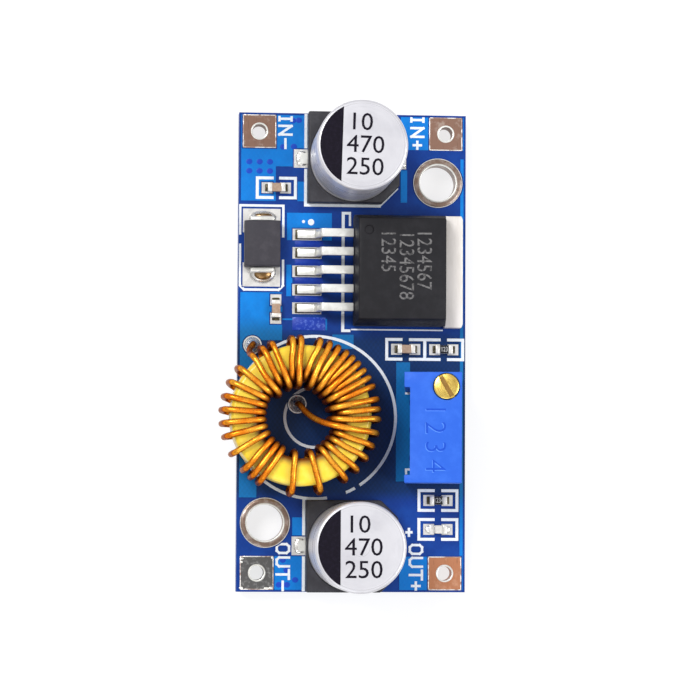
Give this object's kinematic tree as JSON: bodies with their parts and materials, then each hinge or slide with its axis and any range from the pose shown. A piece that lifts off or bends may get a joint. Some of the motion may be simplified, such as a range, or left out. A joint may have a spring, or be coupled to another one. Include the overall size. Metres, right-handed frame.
{
  "type": "buck converter module",
  "caption": "Blue step-down converter board with can capacitors, a wound toroid, a power regulator, a diode, small chips and a screw-adjusted trimmer.",
  "frame": {"origin": "centre of the board on its underside, midway between the two mounting holes", "axes": "+Y towards the input end, +X to the right with the components facing up, +Z out of the component side"},
  "size_m": [0.0227, 0.044, 0.0134],
  "materials": {
    "solder_mask_dark": "glossy navy solder mask over glass-fibre laminate",
    "solder_mask_light": "glossy blue solder mask over copper",
    "white_ink": "matt white screen print",
    "tinned_copper": "thin tin over copper, brownish where it has worn",
    "dull_tin": "dull grey solder-levelled tin",
    "bare_copper": "bare copper with tinned corners",
    "solder": "satin solder",
    "can_aluminium": "satin aluminium can with a coated top",
    "black_ink": "black ink",
    "black_plastic": "moulded black plastic",
    "tinned_leads": "bright tinned metal",
    "moulding": "matt black moulding compound",
    "tinned_tab": "matt tinned copper",
    "core_paint": "glossy yellow coating on a powdered-iron core",
    "enamelled_wire": "copper wire under clear orange enamel",
    "blue_plastic": "satin blue plastic",
    "potting": "dark epoxy",
    "alumina": "white alumina",
    "cermet": "resistive cermet",
    "white_plastic": "white plastic",
    "spring_alloy": "spring alloy",
    "brass": "turned brass",
    "seal_rubber": "black rubber",
    "tan_ceramic": "tan ceramic",
    "chip_metal": "bright tin over nickel",
    "resistor_coat": "black glass coat",
    "clear_resin": "clear moulded resin"
  },
  "bodies": {
    "module": {"circuit_board": "solder_mask_dark", "copper_areas": "solder_mask_light", "board_print": "white_ink", "pad_input_minus": "tinned_copper", "pad_input_plus": "tinned_copper", "pad_output_minus": "dull_tin", "pad_output_plus": "bare_copper", "mounting_ring_input": "tinned_copper", "mounting_ring_output": "tinned_copper", "surface_pads": "tinned_copper", "through_hole_pads": "tinned_copper", "solder_joints": "solder", "input_can": "can_aluminium", "input_can_print": "black_ink", "input_can_base": "black_plastic", "input_can_leads": "tinned_leads", "output_can": "can_aluminium", "output_can_print": "black_ink", "output_can_base": "black_plastic", "output_can_leads": "tinned_leads", "regulator_body": "moulding", "regulator_tab": "tinned_tab", "regulator_leads": "tinned_leads", "diode_body": "moulding", "diode_leads": "tinned_leads", "inductor_core": "core_paint", "inductor_winding": "enamelled_wire", "trimmer_housing": "blue_plastic", "trimmer_potting": "potting", "trimmer_pins": "tinned_leads", "trimmer_element": "alumina", "trimmer_track": "cermet", "input_chip_body": "tan_ceramic", "input_chip_ends": "chip_metal", "boost_chip_body": "tan_ceramic", "boost_chip_ends": "chip_metal", "filter_chip_body": "tan_ceramic", "filter_chip_ends": "chip_metal", "feedback_resistor_body": "alumina", "feedback_resistor_coat": "resistor_coat", "feedback_resistor_ends": "chip_metal", "lamp_resistor_body": "alumina", "lamp_resistor_coat": "resistor_coat", "lamp_resistor_ends": "chip_metal", "lamp_base": "alumina", "lamp_lens": "clear_resin", "lamp_ends": "chip_metal"},
    "adjuster": {"trimmer_screw": "brass", "trimmer_o_ring": "seal_rubber"},
    "rotor": {"trimmer_rotor": "white_plastic", "trimmer_wiper": "spring_alloy"}
  },
  "joints": [
    {"name": "screw_turn", "type": "hinge", "parent": "module", "child": "adjuster", "pos_m": [0.00751, -0.00356, 0.012], "axis": [-0.1132, 0, 0.9936], "range_deg": [-4500, 4500]},
    {"name": "rotor_turn", "type": "hinge", "parent": "module", "child": "rotor", "pos_m": [0.00809, -0.0076, 0.00691], "axis": [0.9936, 0, 0.1132], "range_deg": [-150, 150]}
  ],
  "couplings": [
    {"joint": "rotor_turn", "follows": "screw_turn", "ratio": -0.033333}
  ]
}
